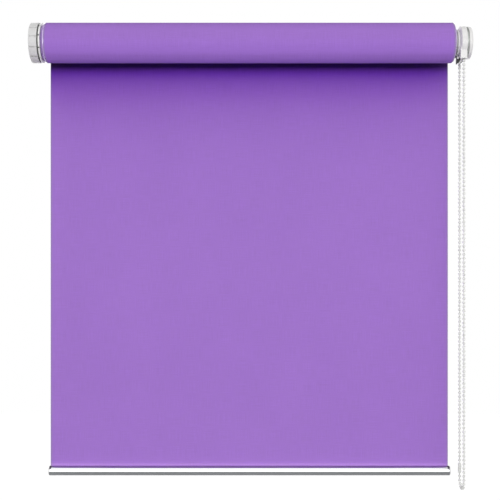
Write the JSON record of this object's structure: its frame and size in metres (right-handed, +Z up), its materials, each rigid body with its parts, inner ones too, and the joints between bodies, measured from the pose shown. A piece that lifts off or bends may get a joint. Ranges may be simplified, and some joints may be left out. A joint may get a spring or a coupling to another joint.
{
  "type": "chain roller blind",
  "caption": "Roller blind with a purple fabric sheet on a wall-mounted roller, bottom rail, bead-chain clutch on the right and a ribbed end cover on the left.",
  "frame": {"origin": "on the wall plane, at the middle of the fabric's width and the height of the roller's axis", "axes": "+X along the roller to the chain's end, +Y into the wall, +Z up; the blind's front faces -Y"},
  "size_m": [0.4327, 0.0466, 0.4612],
  "materials": {
    "fabric": "matt purple blackout fabric with a fine plain weave",
    "white_plastic": "smooth white moulded plastic",
    "grey_plastic": "light grey moulded plastic",
    "black_plastic": "black moulded plastic",
    "steel": "zinc-plated steel",
    "tube_aluminium": "mill-finish aluminium tube",
    "rail_aluminium": "bright satin-anodised aluminium extrusion",
    "chain_plastic": "pale grey-white plastic beads"
  },
  "bodies": {
    "root": {"left_bracket": "steel", "left_cover": "white_plastic", "right_bracket": "steel", "right_cover": "white_plastic", "clutch_housing": "white_plastic", "chain_guide": "black_plastic", "clutch_spindle": "steel", "spindle_clip": "steel", "clutch_screw_1": "steel", "clutch_screw_2": "steel", "chain_on_wheel": "chain_plastic", "fabric_sheet": "fabric", "pin_spring": "steel"},
    "roller": {"roller_tube": "tube_aluminium", "fabric_roll": "fabric", "idle_plug": "white_plastic", "idle_plug_cap": "grey_plastic", "drive_plug": "white_plastic", "drive_hub": "grey_plastic"},
    "chain_wheel": {"chain_wheel": "grey_plastic", "wrap_spring_inner": "steel", "wrap_spring_outer": "steel"},
    "idle_pin": {"idle_pin": "steel"},
    "bottom_bar": {"bottom_rail": "rail_aluminium", "rail_cap_left": "white_plastic", "rail_cap_right": "white_plastic", "hem_rod": "white_plastic"},
    "chain": {"bead_chain": "chain_plastic", "chain_connector": "chain_plastic"}
  },
  "joints": [
    {"name": "roller_turn", "type": "hinge", "parent": "root", "child": "roller", "pos_m": [0, -0.027, 0], "axis": [1, 0, 0], "range_deg": [0, 1140]},
    {"name": "chain_wheel_turn", "type": "hinge", "parent": "root", "child": "chain_wheel", "pos_m": [0.2098, -0.027, 0], "axis": [1, 0, 0], "range_deg": [0, 1140]},
    {"name": "bar_lift", "type": "slide", "parent": "root", "child": "bottom_bar", "axis": [0, 0, 1], "range_m": [0, 0.398], "deforming": ["fabric_sheet"]},
    {"name": "idle_pin_press", "type": "slide", "parent": "root", "child": "idle_pin", "axis": [1, 0, 0], "range_m": [0, 0.006], "stiffness_N_per_m": 800, "springref_m": -0.003, "deforming": ["pin_spring"]},
    {"name": "chain_swing", "type": "hinge", "parent": "root", "child": "chain", "pos_m": [0.2098, -0.027, -0.02065], "axis": [0, 1, 0], "range_deg": [-25, 25]}
  ],
  "couplings": [
    {"joint": "chain_wheel_turn", "follows": "roller_turn", "ratio": 1},
    {"joint": "bar_lift", "follows": "roller_turn", "m_per_rad": 0.02}
  ]
}
